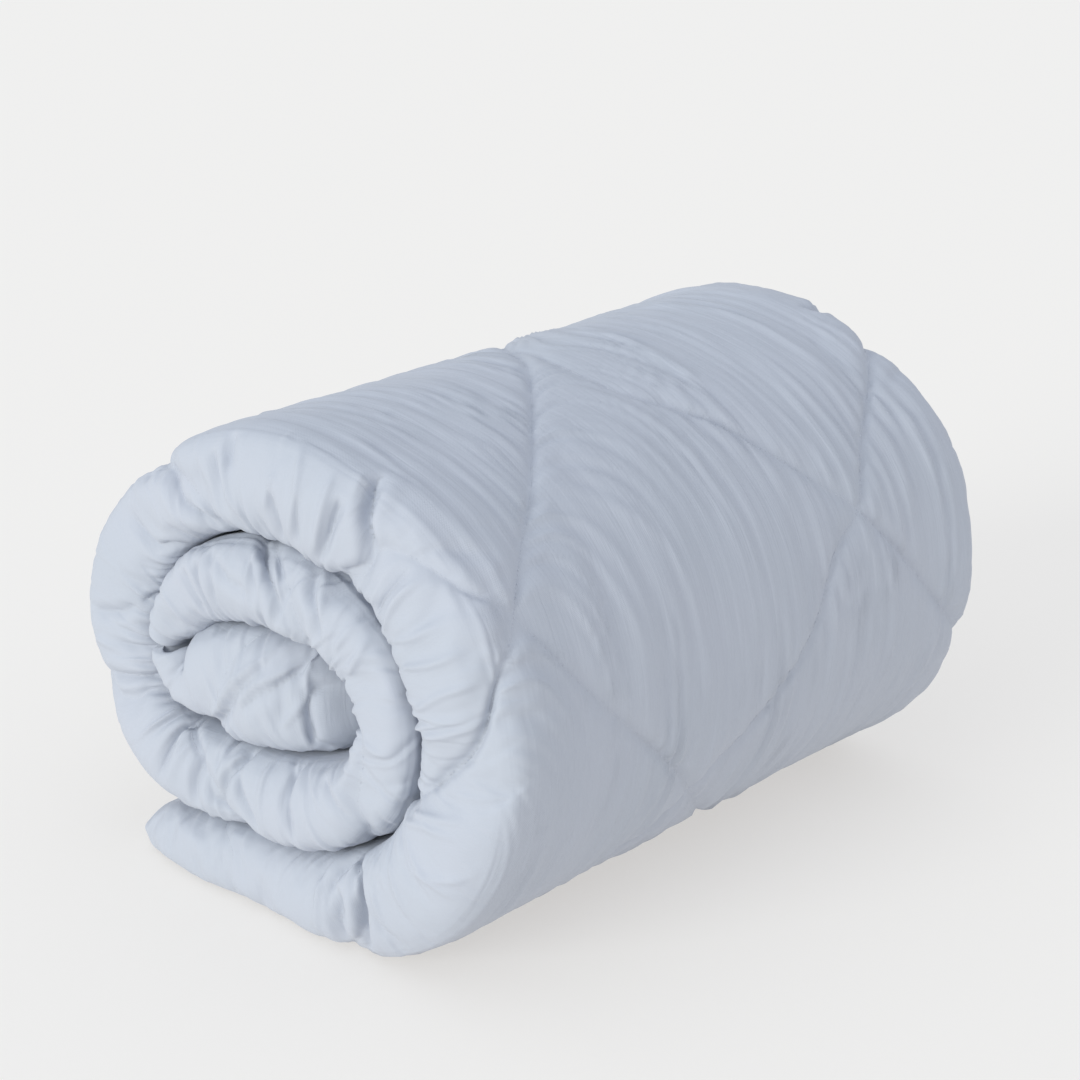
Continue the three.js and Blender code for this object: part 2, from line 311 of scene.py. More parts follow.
CREASES = [  # height (below nought in a valley), half width, points
    # over the top of the outer turn
    (-8, 5.5, [(636, -262), (627, -274), (618, -299), (613, -308), (606, -318), (598, -335)]),
    (-4, 4, [(622, -352), (617, -347), (607, -335), (598, -328)]),
    (-6, 6, [(822, -285), (811, -321), (805, -330), (791, -346), (785, -368)]),
    (2.5, 5, [(800, -327), (787, -341), (782, -358)]),
    (3, 5, [(750, -300), (745, -323), (741, -333), (732, -348)]),
    (-3, 4.5, [(743, -282), (743, -320)]),
    (-2.5, 4, [(759, -298), (756, -328)]),
    (-3.5, 4.5, [(703, -315), (694, -338), (694, -366)]),
    (2.5, 5, [(694, -308), (706, -338)]),
    (3, 5.5, [(685, -280), (674, -308), (672, -325), (678, -350)]),
    (-3.5, 4.5, [(670, -316), (669, -352)]),
    (3, 5, [(652, -286), (648, -311), (649, -350)]),
    (-4, 4.5, [(640, -300), (638, -324), (648, -358)]),
    # down its left side
    (-4, 5, [(888, -300), (878, -324), (873, -336), (854, -353), (848, -382)]),
    (-3.5, 4.5, [(944, -351), (928, -365), (920, -390)]),
    (-3.5, 4.5, [(980, -303), (967, -328), (944, -350)]),
    (2.2, 4.5, [(994, -302), (1000, -328)]),
    (-5.5, 4.5, [(1018, -292), (1023, -320), (1030, -356), (1030, -388)]),
    (-3, 5, [(991, -322), (996, -339), (994, -372)]),
    (-5.5, 4.5, [(1117, -390), (1114, -374), (1106, -364), (1104, -348), (1104, -333), (1103, -305)]),
    # along the bottom of the second turn
    (-3.5, 4.5, [(1110, -390), (1116, -375), (1130, -359), (1143, -342), (1138, -324), (1138, -312),
               (1152, -296)]),
    (-4, 4, [(1150, -328), (1158, -314), (1177, -306), (1208, -303)]),
    (-3.5, 4, [(1174, -390), (1174, -367), (1173, -346)]),
    (-5, 5, [(1194, -380), (1193, -359), (1187, -344), (1176, -327), (1160, -308)]),
    (-3.5, 4, [(1195, -354), (1195, -332), (1201, -324), (1208, -317), (1220, -302)]),
    (-4.5, 4.5, [(1260, -376), (1254, -342), (1254, -329), (1255, -320), (1255, -294)]),
    # up its right side and over its top
    (-3, 4, [(1298, -350), (1310, -317), (1317, -302)]),
    (3, 4.5, [(1438, -326), (1444, -305), (1448, -286)]),
    (2.5, 4.5, [(1384, -330), (1381, -309), (1386, -288)]),
    (2.5, 4.5, [(1459, -320), (1459, -296), (1460, -276)]),
    (-4, 4.5, [(1504, -272), (1497, -298), (1489, -306), (1480, -315), (1466, -334)]),
    (2.5, 5, [(1501, -274), (1487, -294), (1472, -322)]),
    (-6, 4.5, [(1566, -262), (1547, -293), (1538, -309), (1527, -320), (1512, -340)]),
    (-3, 4, [(1558, -294), (1550, -312), (1540, -328)]),
    (-3, 4, [(1594, -296), (1584, -313), (1568, -321), (1540, -326)]),
    (-3, 4, [(1599, -290), (1597, -320), (1600, -340)]),
    (-3, 4, [(1611, -300), (1615, -330), (1617, -356)]),
    (-2.5, 4, [(1626, -305), (1625, -329), (1629, -350)]),
    (2.5, 4.5, [(1654, -304), (1657, -331), (1667, -360)]),
    (-9, 4.5, [(1702, -250), (1706, -290), (1712, -330), (1716, -362), (1718, -390)]),
    # the core: long pleats from below left, and the curl of the inner end
    (4, 5, [(1764, -292), (1789, -315), (1810, -334), (1838, -351), (1851, -361), (1860, -376)]),
    (-4.5, 4.5, [(1770, -286), (1803, -319), (1822, -335), (1844, -345), (1858, -362)]),
    (3.5, 5, [(1820, -328), (1839, -339), (1857, -340), (1873, -345), (1890, -350)]),
    (-4, 4.5, [(1816, -318), (1829, -329), (1845, -334), (1862, -334), (1888, -338)]),
    (3, 4.5, [(1858, -309), (1872, -314), (1892, -317)]),
    (-4, 3.5, [(1881, -316), (1884, -301), (1881, -276)]),
    (-7, 4.5, [(1889, -364), (1892, -341), (1893, -322), (1886, -316), (1880, -300)]),
    (-4.5, 4.5, [(1903, -350), (1900, -330), (1898, -318), (1899, -292)]),
    # up the right side of the outer turn, with the seam that is drawn tight there
    (-4.5, 3.5, [(392, -372), (412, -345), (429, -333), (462, -306), (484, -287), (506, -262)]),
    (3, 5, [(453, -352), (460, -335), (469, -304)]),
    (3, 5, [(476, -358), (481, -344), (490, -326), (494, -294)]),
    (3, 5, [(520, -362), (516, -345), (511, -330), (512, -298)]),
    (2.5, 5, [(544, -362), (540, -345), (534, -331), (531, -306)]),
    (-4, 4.5, [(572, -358), (572, -322), (571, -300)]),
    (3, 5, [(555, -358), (557, -340), (562, -325), (561, -300)]),
    (3, 5, [(370, -364), (382, -349), (404, -316)]),
    (3, 5, [(354, -372), (363, -359), (377, -344), (391, -318)]),
    (2.5, 5, [(356, -370), (352, -354), (346, -341), (345, -329), (349, -300)]),
    (2.5, 5, [(332, -348), (340, -334), (354, -321), (373, -298)]),
    # where the loose end turns up into the outer turn
    (-9, 5, [(246, -396), (250, -375), (258, -345), (253, -333), (241, -319), (220, -270)]),
    (-4, 4.5, [(243, -388), (239, -373), (229, -360), (221, -346), (207, -320)]),
    (-6, 5, [(228, -346), (225, -330), (215, -317), (212, -290)]),
    (3, 5, [(207, -350), (205, -336), (190, -302)]),
    (3, 5, [(288, -366), (283, -352), (275, -336), (269, -306)]),
    (2.5, 5, [(316, -356), (311, -342), (298, -316)]),
]


def through(line, step=4.0):
    """The line's points joined by a soft curve, as points a few millimetres apart."""
    p = np.array(line, float)
    ext = np.vstack([2 * p[0] - p[1], p, 2 * p[-1] - p[-2]])
    out = []
    for i in range(len(p) - 1):
        a, b, c, d = ext[i:i + 4]
        w = np.linspace(0, 1, max(2, int(np.linalg.norm(c - b) / step)), endpoint=False)[:, None]
        out.append(0.5 * (2 * b + (c - a) * w + (2 * a - 5 * b + 4 * c - d) * w ** 2
                          + (3 * b - a - 3 * c + d) * w ** 3))
    return np.vstack(out + [p[-1:]])


def distance_to(lines, s, q):
    """Distance of each place on the flat sheet to the nearest of some lines."""
    best = np.full(len(s), 1e9)
    for line in lines:
        p = through(line, 14.0)
        near = (s > p[:, 0].min() - 90) & (s < p[:, 0].max() + 90)
        here = np.stack([s[near], q[near]], 1)
        found = best[near]
        for a, b in zip(p[:-1], p[1:]):
            run = b - a
            w = np.clip(((here - a) @ run) / (run @ run), 0, 1)
            found = np.minimum(found, np.hypot(*(here - a - w[:, None] * run).T))
        best[near] = found
    return best


def soft_noise(seed, x, y, z=0.0):
    """Smooth gradient noise from about -0.7 to 0.7, one swell for each unit or two."""
    rng = np.random.default_rng(seed)
    gradients = rng.normal(size=(4096, 3))
    gradients /= np.linalg.norm(gradients, axis=1)[:, None]
    p = np.stack(np.broadcast_arrays(x, y, z), -1).astype(float)
    cell = np.floor(p).astype(int)
    f = p - cell
    fade = f * f * f * (f * (f * 6 - 15) + 10)
    total = np.zeros(p.shape[:-1])
    for corner in np.ndindex(2, 2, 2):
        c = cell + corner
        index = (c[..., 0] * 1619 + c[..., 1] * 31337 + c[..., 2] * 6971 + seed * 1013) % 4096
        part = (gradients[index] * (f - corner)).sum(-1)
        weight = np.prod(np.where(corner, fade, 1 - fade), -1)
        total += part * weight
    return total


def normals_of(mesh):
    out = np.zeros(len(mesh.vertices) * 3, np.float32)
    mesh.vertices.foreach_get("normal", out)
    return out.reshape(-1, 3).astype(float)


def places_of(mesh):
    out = np.zeros(len(mesh.vertices) * 3, np.float32)
    mesh.vertices.foreach_get("co", out)
    return out.reshape(-1, 3).astype(float)


def put_places(mesh, places):
    mesh.vertices.foreach_set("co", places.astype(np.float32).ravel())
    mesh.update()


def room_outside(mesh, places, normals, most=0.05):
    """Free distance outward from each point before it meets another turn, in metres."""
    tree = BVHTree.FromPolygons([tuple(p) for p in places], [tuple(f.vertices) for f in mesh.polygons])
    room = np.full(len(places), most)
    for i, (p, n) in enumerate(zip(places, normals)):
        hit = tree.ray_cast(Vector(p + n * 2e-4), Vector(n), most)
        if hit[0] is not None:
            room[i] = hit[3]
    return room


def beside(line, s, q, reach):
    """Which places lie near a line, how far from it, and how far along it as a share."""
    p = through(line, 6.0)
    near = np.nonzero((s > p[:, 0].min() - reach) & (s < p[:, 0].max() + reach)
                      & (q > p[:, 1].min() - reach) & (q < p[:, 1].max() + reach))[0]
    here = np.stack([s[near], q[near]], 1)
    best, share = np.full(len(near), 1e9), np.zeros(len(near))
    for i, (a, b) in enumerate(zip(p[:-1], p[1:])):
        run = b - a
        w = np.clip(((here - a) @ run) / (run @ run), 0, 1)
        found = np.hypot(*(here - a - w[:, None] * run).T)
        share = np.where(found < best, (i + w) / (len(p) - 1), share)
        best = np.minimum(best, found)
    return near, best, share


def creased(s, q, sharp):
    """What the tucks and gathers do to the cloth, in millimetres outward: the soft hollow or
    swelling, or the sharp line in its middle. The far end has the like, a little further on."""
    total = np.zeros(len(s))
    far_end = [(0.85 * tall, 1.15 * wide, [(x + 31, -y) for x, y in line])
               for tall, wide, line in CREASES]
    for tall, wide, line in CREASES + far_end:
        near, away, share = beside(line, s, q, 5 * wide)
        ends = smooth_step(0, 0.25, share) * (1 - smooth_step(0.65, 1, share))
        if not sharp:
            shape = 0.45 * np.exp(-(away / (1.7 * wide)) ** 2)
        elif tall < 0:
            shape = 0.95 * np.exp(-away / (0.5 * wide))
            shape -= 0.28 * np.exp(-((away - 1.9 * wide) / wide) ** 2)
        else:
            shape = 0.85 * np.exp(-(away / (0.55 * wide)) ** 2)
        total[near] += tall * ends * shape
    return total


def tightness(s, q):
    """How deep the stitches sink: hardly at all in the flat loose end and in the core, and little
    where a falling seam crosses the ridges on top, or another seam at the lower left."""
    slack = 0.7 * np.exp(-((s - 668) / 62) ** 2 - ((q + 2) / 30) ** 2)
    slack += 0.75 * np.exp(-((s - 1110) / 34) ** 2 - ((q + 368) / 34) ** 2)
    beyond_loose_end = 0.25 + 0.75 * smooth_step(150, 230, s)
    return beyond_loose_end * (1 - slack) * (1 - 0.75 * smooth_step(1745, 1790, s))


def steady(s, q, height, fold):
    """One, but nought along the two lines where the places on the flat sheet jump: the middle of the
    inner face, and where that face meets the rounded end of the sheet."""
    straight, arc = np.interp(s, row_wound, row_straight), np.interp(s, row_wound, row_arc)
    from_middle = smooth_step(0, 60, 2 * straight + arc - np.abs(q))
    from_end = smooth_step(0, 25, np.minimum(s - START, FULL - s))
    round_end = smooth_step(-1, -0.4, height)
    inner = (height < -0.99) & (fold < 0.01)
    at_end = (s < START - 0.01) | (s > FULL + 0.01)
    return np.where(at_end, round_end, np.where(inner, from_middle * from_end, 1.0))


def broad_relief(s, q, fold):
    """What the seams and clumps of fibre do to the layer, in millimetres outward."""
    seam = distance_to(SEAMS, s, q)
    on_fold = smooth_step(0.0, 0.5, fold)
    tight = tightness(s, q)
    drawn_in = tight * (0.9 + 5.1 * on_fold) * np.exp(-(seam / (17 - 3 * on_fold)) ** 1.6)
    sunk = tight * (1.3 + 0.6 * on_fold) * np.exp(-seam / 4.5)
    lumps = 2.4 * soft_noise(3, s / 85, q / 85) + 1.3 * soft_noise(4, s / 38, q / 38)
    return lumps - drawn_in - sunk, seam


# THE WOUND SHEET: how the cloth settles
# The covers are cut larger than the room they have in the roll, so the padding blows them up and
# they buckle between the seams. Cloth that the roll hides, and the seams, are held.
CUT_LARGER = 0.035  # as a share of the covers' own length
LONGEST_MOVE = 0.0048  # metres
DEEPEST_HOLLOW = -14.0  # millimetres
s, q, height, fold = facts.T
base_normals = normals_of(sheet_mesh)
room = room_outside(sheet_mesh, points, base_normals)
relief, seam = broad_relief(s, q, fold)
relief += creased(s, q, sharp=False)
relief *= steady(s, q, height, fold)
most_out = np.maximum(0.45 * room * 1000 - 0.6, 0.0)
relief = np.minimum(relief, most_out)
relief = np.maximum(relief, DEEPEST_HOLLOW)
start_places = points + base_normals * relief[:, None] / 1000
start_places[:, 2] = np.maximum(start_places[:, 2], 0.0)
put_places(sheet_mesh, start_places)


def settle(cloth, held, extra, frames=20):
    """Blender's cloth, from the start shape: full of air, cut larger by the extra share, unmoved
    where it is held. Returns the settled places."""
    group = cloth.vertex_groups.new(name="held")
    for level in np.unique(np.round(held, 2)):
        group.add([int(i) for i in np.nonzero(np.round(held, 2) == level)[0]], float(level), "REPLACE")
    modifier = cloth.modifiers.new("settling", "CLOTH")
    soft = modifier.settings
    soft.quality = 6
    soft.mass = 0.2
    soft.tension_stiffness = 20
    soft.compression_stiffness = 20
    soft.shear_stiffness = 6
    soft.bending_stiffness = 0.3
    soft.tension_damping = soft.compression_damping = soft.shear_damping = 8
    soft.bending_damping = 1.0
    soft.air_damping = 2.0
    soft.vertex_group_mass = "held"
    soft.pin_stiffness = 1.0
    soft.shrink_min = -extra
    soft.use_pressure = True
    soft.uniform_pressure_force = 4.0
    soft.effector_weights.gravity = 0.0
    modifier.collision_settings.use_collision = False
    modifier.point_cache.frame_start, modifier.point_cache.frame_end = 1, frames
    scene = bpy.context.scene
    for frame_number in range(1, frames + 1):
        scene.frame_set(frame_number)
    graph = bpy.context.evaluated_depsgraph_get()
    settled = places_of(cloth.evaluated_get(graph).data)
    cloth.modifiers.remove(modifier)
    cloth.vertex_groups.remove(group)
    scene.frame_set(1)
    return settled


hidden = 1 - smooth_step(0.004, 0.012, room)
stitched = 1 - smooth_step(3.0, 9.0, seam)
grounded = 1 - smooth_step(0.001, 0.006, start_places[:, 2])
unseen = ((s < 200) | (s > 1250)) & (fold < 0.02)
held = np.clip(np.maximum.reduce([hidden, stitched * 0.9, grounded, unseen]), 0.02, 1.0)
settled = settle(sheet, held, CUT_LARGER)
moved = settled - start_places
length = np.linalg.norm(moved, axis=1)
moved *= np.minimum(1.0, LONGEST_MOVE / np.maximum(length, 1e-9))[:, None]
# on the open face the buckles are drawn out along the wound cloth, which is stretched that way
open_rows = [row for row in range(ROWS + 1) if columns_of(row)[0] == OPEN_COLUMNS]
face = np.array([parts_of(row)[0] for row in open_rows])
lift = (moved * base_normals).sum(1)[face]
free = 1 - stitched[face]
reach_rows = np.arange(-30, 31)
spread = np.exp(-(reach_rows * ROW_STEP / 45) ** 2 / 2)
drawn = np.apply_along_axis(np.convolve, 0, lift * free, spread, "same")
drawn /= np.apply_along_axis(np.convolve, 0, free, spread, "same") + 0.5
column = np.arange(face.shape[1])
share = 0.8 * smooth_step(0, 6, np.minimum(column, column[::-1]))
change = (drawn * free * 0.45 - lift) * share
moved[face.ravel()] += base_normals[face.ravel()] * change.reshape(-1, 1)
put_places(sheet_mesh, start_places + moved)

# THE WOUND SHEET: fine folds
# Between the seams the upper cover lies in thin soft ridges that run round the roll, and at the
# folded ends it is gathered into small pleats that start in the crevices between the turns.
for name, values in zip(("wound", "round", "height", "fold"), facts.T):
    kept = sheet_mesh.attributes.new(name, "FLOAT", "POINT")
    kept.data.foreach_set("value", values.astype(np.float32))
finer = sheet.modifiers.new("finer", "SUBSURF")
finer.levels = finer.render_levels = 1
graph = bpy.context.evaluated_depsgraph_get()
fine_mesh = bpy.data.meshes.new_from_object(sheet.evaluated_get(graph))
sheet.modifiers.remove(finer)
sheet.data = fine_mesh
fine_mesh.name = "rolled_protector_cloth"
# the folds at the near end carry the sharpest creases, so their faces are split once more
split = bmesh.new()
split.from_mesh(fine_mesh)
fold_of, round_of = (split.verts.layers.float[name] for name in ("fold", "round"))
near_fold = [e for e in split.edges if all(v[fold_of] > 0.03 and v[round_of] < 0 for v in e.verts)]
bmesh.ops.subdivide_edges(split, edges=near_fold, cuts=1, use_grid_fill=True, smooth=0.9)
split.to_mesh(fine_mesh)
split.free()


def kept_values(name):
    out = np.zeros(len(fine_mesh.vertices), np.float32)
    fine_mesh.attributes[name].data.foreach_get("value", out)
    return out.astype(float)


def ridges(s, q, seam):
    """Soft ridges round the roll, in millimetres. Beside the seam that climbs from the near end
    they start square to it and then turn."""
    climbing = through(SEAMS[0], 14.0)
    beyond = q - np.interp(s, climbing[:, 0], climbing[:, 1])
    shift = np.where((beyond > 0) & (s < 790), 83 * np.exp(-beyond * 0.77 / 50), 0)
    shift *= smooth_step(380, 470, s) * (1 - smooth_step(700, 790, s))
    across = q + shift + 16 * soft_noise(11, s / 230, q / 130) + 5 * soft_noise(12, s / 70, q / 60)
    first = soft_noise(13, across / 12, s / 210)
    second = soft_noise(14, across / 7, s / 150)
    crests = np.maximum(1 - np.abs(first) * 3.2, 0) ** 1.5
    crests += 0.55 * np.maximum(1 - np.abs(second) * 3, 0) ** 1.5
    wave = crests - 0.55 + 0.5 * soft_noise(15, across / 9, s / 260)
    patchy = 0.55 + 0.75 * smooth_step(-0.25, 0.3, soft_noise(16, s / 120, q / 70))
    return wave * patchy * (0.75 + 0.6 * np.exp(-seam / 45))


def pleated(s, q):
    """Pleats where the cover is gathered into the crevices between the turns, and over the open
    edge of the outer turn. Each falls steeply on one side. In millimetres outward."""
    straight = np.interp(s, row_wound, row_straight)
    arc = np.interp(s, row_wound, row_arc)
    along = np.clip((np.abs(q) - straight) / arc, -0.4, 1.2)  # 0 on the outer face, 1 on the inner
    order = np.argsort(s)
    ordered = s[order]
    rng = np.random.default_rng(31)
    total = np.zeros(len(s))
    for side in (-1, 1):
        for start, direction, first, last, strength in (
                (1.0, -1, 0, FULL, 1.0), (0.03, 1, 1120, FULL, 0.9), (0.0, 1, 240, 1120, 0.32)):
            where, lean = first, 0.0
            while where < last:
                where += rng.uniform(8, 25)
                lean = 0.6 * lean + rng.normal() * 0.24
                reach = rng.uniform(0.3, 0.85)
                tall = strength * rng.uniform(0.7, 2.4) * rng.choice((-1, 1), p=(0.6, 0.4))
                wide = rng.uniform(2.0, 4.2)
                steep = rng.choice((-1, 1))
                low, high = np.searchsorted(ordered, (where - 55, where + 55))
                near = order[low:high]
                near = near[(q[near] * side > 0) & (along[near] > -0.3)]
                gone = (along[near] - start) * direction / reach
                middle = where + lean * gone * reach * 110
                across = (s[near] - middle) * steep / (wide * (0.75 + 0.7 * np.clip(gone, 0, 1)))
                across *= np.where(across > 0, 1.7, 0.75)
                fade = smooth_step(-0.04, 0.3, gone) * (1 - smooth_step(0.35, 1.0, gone))
                shape = np.exp(-across ** 2) - 0.35 * np.exp(-(np.abs(across) - 1.9) ** 2)
                total[near] += tall * fade * shape
    return total * np.where(q > 0, 0.7, 1.0) * (0.35 + 0.65 * smooth_step(150, 260, s))


LONG_FOLDS = [  # the few that stand out: points, height, half width
    ([(790, 95), (759, 85), (693, 71), (625, 69), (584, 47)], 2.4, 5),
    ([(800, 160), (750, 165), (711, 187), (654, 200), (586, 198), (540, 190)], 2.4, 5),
    ([(589, -159), (560, -118), (530, -88), (467, -76), (400, -74)], 1.4, 5),
]
places = places_of(fine_mesh)
normals = normals_of(fine_mesh)
s, q, height, fold = (kept_values(n) for n in ("wound", "round", "height", "fold"))
seam = distance_to(SEAMS, s, q)
outer_face = smooth_step(0.6, 0.98, height) * (1 - smooth_step(0.25, 0.75, fold))
fine = 2.3 * ridges(s, q, seam) * outer_face * smooth_step(1.0, 5, seam)
for line, tall, wide in LONG_FOLDS:
    near, away, share = beside(line, s, q, 4 * wide)
    ends = smooth_step(0, 0.3, share) * (1 - smooth_step(0.7, 1, share))
    fine[near] += tall * ends * np.exp(-(away / wide) ** 2) * outer_face[near]
fine -= 0.9 * tightness(s, q) * np.exp(-(seam / 2.6) ** 2)
room = room_outside(fine_mesh, places, normals)
pressed = 0.3 + 0.7 * smooth_step(0.0005, 0.008, room)  # where another turn lies close
fine += pleated(s, q) * smooth_step(0, 0.3, fold) * pressed
fine += creased(s, q, sharp=True)
fine *= steady(s, q, height, fold)
most_out = np.maximum(0.45 * room * 1000 - 0.2, 0.0)
fine = np.minimum(fine, most_out) * smooth_step(0.0, 0.006, places[:, 2])
places = places + normals * fine[:, None] / 1000
places[:, 2] = np.maximum(places[:, 2], 0.0)
put_places(fine_mesh, places)
for polygon in fine_mesh.polygons:
    polygon.use_smooth = True

# THE CLOTH: fine plain-woven cotton
# Bleached cotton percale, matt, with a faint bloom of fibre ends. The threads cross over and under
# each other at a pitch of well under a millimetre; the cover is a little creased everywhere.
def with_sockets(group, inputs, outputs):
    """Give a node group its named sockets. Returns the nodes that hold them."""
    for direction, sockets in (("INPUT", inputs), ("OUTPUT", outputs)):
        for name, kind in sockets.items():
            group.interface.new_socket(name, in_out=direction, socket_type="NodeSocket" + kind)
    return group.nodes.new("NodeGroupInput"), group.nodes.new("NodeGroupOutput")


def plain_weave():
    """A node group: height of crossing threads at a place on the flat sheet, in metres."""
    group = bpy.data.node_groups.new("plain weave", "ShaderNodeTree")
    nodes, links = group.nodes, group.links
    taken, given = with_sockets(group, {"Place": "Vector", "Threads per metre": "Float"},
                                {"Height": "Float"})
    parts = nodes.new("ShaderNodeSeparateXYZ")
    links.new(taken.outputs["Place"], parts.inputs[0])
    turns = nodes.new("ShaderNodeMath")
    turns.operation = "MULTIPLY"
    turns.inputs[1].default_value = math.pi
    links.new(taken.outputs["Threads per metre"], turns.inputs[0])
    waves = []
    for axis in ("X", "Y"):
        across, wave = nodes.new("ShaderNodeMath"), nodes.new("ShaderNodeMath")
        across.operation, wave.operation = "MULTIPLY", "SINE"
        links.new(parts.outputs[axis], across.inputs[0])
        links.new(turns.outputs[0], across.inputs[1])
        links.new(across.outputs[0], wave.inputs[0])
        waves.append(wave)
    crossed = nodes.new("ShaderNodeMath")
    crossed.operation = "MULTIPLY"
    links.new(waves[0].outputs[0], crossed.inputs[0])
    links.new(waves[1].outputs[0], crossed.inputs[1])
    links.new(crossed.outputs[0], given.inputs["Height"])
    return group


def bloom_of_lint():
    """A node group: how rough fibre ends leave the cloth or thread at a place."""
    group = bpy.data.node_groups.new("bloom of lint", "ShaderNodeTree")
    nodes, links = group.nodes, group.links
    taken, given = with_sockets(group, {"Place": "Vector", "Tufts per metre": "Float",
                                        "Smoothest": "Float", "Roughest": "Float"},
                                {"Roughness": "Float"})
    tufts, between = nodes.new("ShaderNodeTexNoise"), nodes.new("ShaderNodeMapRange")
    links.new(taken.outputs["Place"], tufts.inputs["Vector"])
    links.new(taken.outputs["Tufts per metre"], tufts.inputs["Scale"])
    links.new(tufts.outputs["Fac"], between.inputs["Value"])
    links.new(taken.outputs["Smoothest"], between.inputs["To Min"])
    links.new(taken.outputs["Roughest"], between.inputs["To Max"])
    links.new(between.outputs["Result"], given.inputs["Roughness"])
    return group


def add_lint(material, lint, place, tufts, smoothest, roughest):
    """Let fibre ends roughen a material, from a socket with the place."""
    nodes, links = material.node_tree.nodes, material.node_tree.links
    fuzz = nodes.new("ShaderNodeGroup")
    fuzz.node_tree = lint
    fuzz.inputs["Tufts per metre"].default_value = tufts
    fuzz.inputs["Smoothest"].default_value = smoothest
    fuzz.inputs["Roughest"].default_value = roughest
    links.new(place, fuzz.inputs["Place"])
    links.new(fuzz.outputs["Roughness"], nodes["Principled BSDF"].inputs["Roughness"])


def add_bump(material, height, strength, distance, under=None):
    """A bump from a socket with the height, over another bump where there is one."""
    nodes, links = material.node_tree.nodes, material.node_tree.links
    bump = nodes.new("ShaderNodeBump")
    bump.inputs["Strength"].default_value = strength
    bump.inputs["Distance"].default_value = distance
    links.new(height, bump.inputs["Height"])
    if under is not None:
        links.new(under, bump.inputs["Normal"])
    return bump.outputs["Normal"]


def cotton(weave, lint):
    """The material of the covers."""
    material = bpy.data.materials.new("white_cotton_percale")
    material.use_nodes = True
    nodes, links = material.node_tree.nodes, material.node_tree.links
    shader = nodes["Principled BSDF"]
    shader.inputs["Sheen Weight"].default_value = 0.12
    shader.inputs["Sheen Roughness"].default_value = 0.4
    shader.inputs["Specular IOR Level"].default_value = 0.25
    place = nodes.new("ShaderNodeUVMap")
    place.uv_map = "flat_sheet"
    fold = nodes.new("ShaderNodeAttribute")
    fold.attribute_name = "fold"

    # colour: bleached cotton, bluish, a little uneven over large areas
    tone = nodes.new("ShaderNodeTexNoise")
    tone.inputs["Scale"].default_value = 9.0
    tone.inputs["Detail"].default_value = 3.0
    links.new(place.outputs[0], tone.inputs["Vector"])
    colour = nodes.new("ShaderNodeMix")
    colour.data_type = "RGBA"
    colour.inputs["A"].default_value = (0.468, 0.508, 0.578, 1)
    colour.inputs["B"].default_value = (0.503, 0.532, 0.610, 1)
    links.new(tone.outputs["Fac"], colour.inputs["Factor"])
    links.new(colour.outputs["Result"], shader.inputs["Base Color"])

    # roughness: fibre ends scatter unevenly
    add_lint(material, lint, place.outputs[0], 420.0, 0.78, 0.95)

    # creases too fine for the mesh: along the wound length on the faces, over the folds at the ends
    heights = []
    for stretch in ((9.0, 150.0, 1.0), (190.0, 22.0, 1.0)):
        turned = nodes.new("ShaderNodeMapping")
        turned.inputs["Scale"].default_value = stretch
        links.new(place.outputs[0], turned.inputs["Vector"])
        wrinkles = nodes.new("ShaderNodeTexNoise")
        wrinkles.inputs["Scale"].default_value = 1.0
        wrinkles.inputs["Detail"].default_value = 3.0
        wrinkles.inputs["Distortion"].default_value = 0.4
        links.new(turned.outputs[0], wrinkles.inputs["Vector"])
        heights.append(wrinkles)
    both = nodes.new("ShaderNodeMix")
    links.new(fold.outputs["Fac"], both.inputs["Factor"])
    drawn = nodes.new("ShaderNodeMath")
    drawn.operation = "MULTIPLY"
    drawn.inputs[1].default_value = 1.25
    links.new(heights[0].outputs["Fac"], drawn.inputs[0])
    links.new(drawn.outputs[0], both.inputs["A"])
    links.new(heights[1].outputs["Fac"], both.inputs["B"])
    wrinkled = add_bump(material, both.outputs["Result"], 0.55, 0.0012)

    # threads
    threads = nodes.new("ShaderNodeGroup")
    threads.node_tree = weave
    threads.inputs["Threads per metre"].default_value = 1500.0
    links.new(place.outputs[0], threads.inputs["Place"])
    woven = add_bump(material, threads.outputs["Height"], 0.35, 0.00012, wrinkled)
    links.new(woven, shader.inputs["Normal"])
    return material


flat = fine_mesh.uv_layers.new(name="flat_sheet")
corner_points = np.zeros(len(fine_mesh.loops), np.int32)
fine_mesh.loops.foreach_get("vertex_index", corner_points)
u, v = s[corner_points] / 1000, q[corner_points] / 1000
for polygon in fine_mesh.polygons:  # a face never spans a jump of the unrolled places
    own = slice(polygon.loop_start, polygon.loop_start + polygon.loop_total)
    if np.ptp(v[own]) > 0.06:
        v[own] = np.minimum(np.abs(v[own]), np.abs(v[own]).min() + 0.006)
flat.data.foreach_set("uv", np.stack([u, v], 1).astype(np.float32).ravel())
weave, lint = plain_weave(), bloom_of_lint()
percale = cotton(weave, lint)
fine_mesh.materials.clear()
fine_mesh.materials.append(percale)

# THE STITCHES: lockstitch along the diamonds
# White spun thread of two twisted plies, sewn by machine through both covers and the padding. Each
# stitch lies in the groove that it pulls, with its ends drawn down into the cloth.
STITCH_PITCH, STITCH_LENGTH, THREAD_RADIUS = 0.0034, 0.0027, 0.00026


def flat_cloth():
    """The cloth's faces laid out flat, to find where a place on the sheet lies on the roll."""
    corners = [tuple(f.vertices) for f in fine_mesh.polygons]
    corners = [c for c in corners if np.ptp(q[list(c)]) < 40 and np.ptp(s[list(c)]) < 20]
    laid = [(a, b, 0.0) for a, b in zip(s, q)]
    return BVHTree.FromPolygons(laid, corners), corners, laid


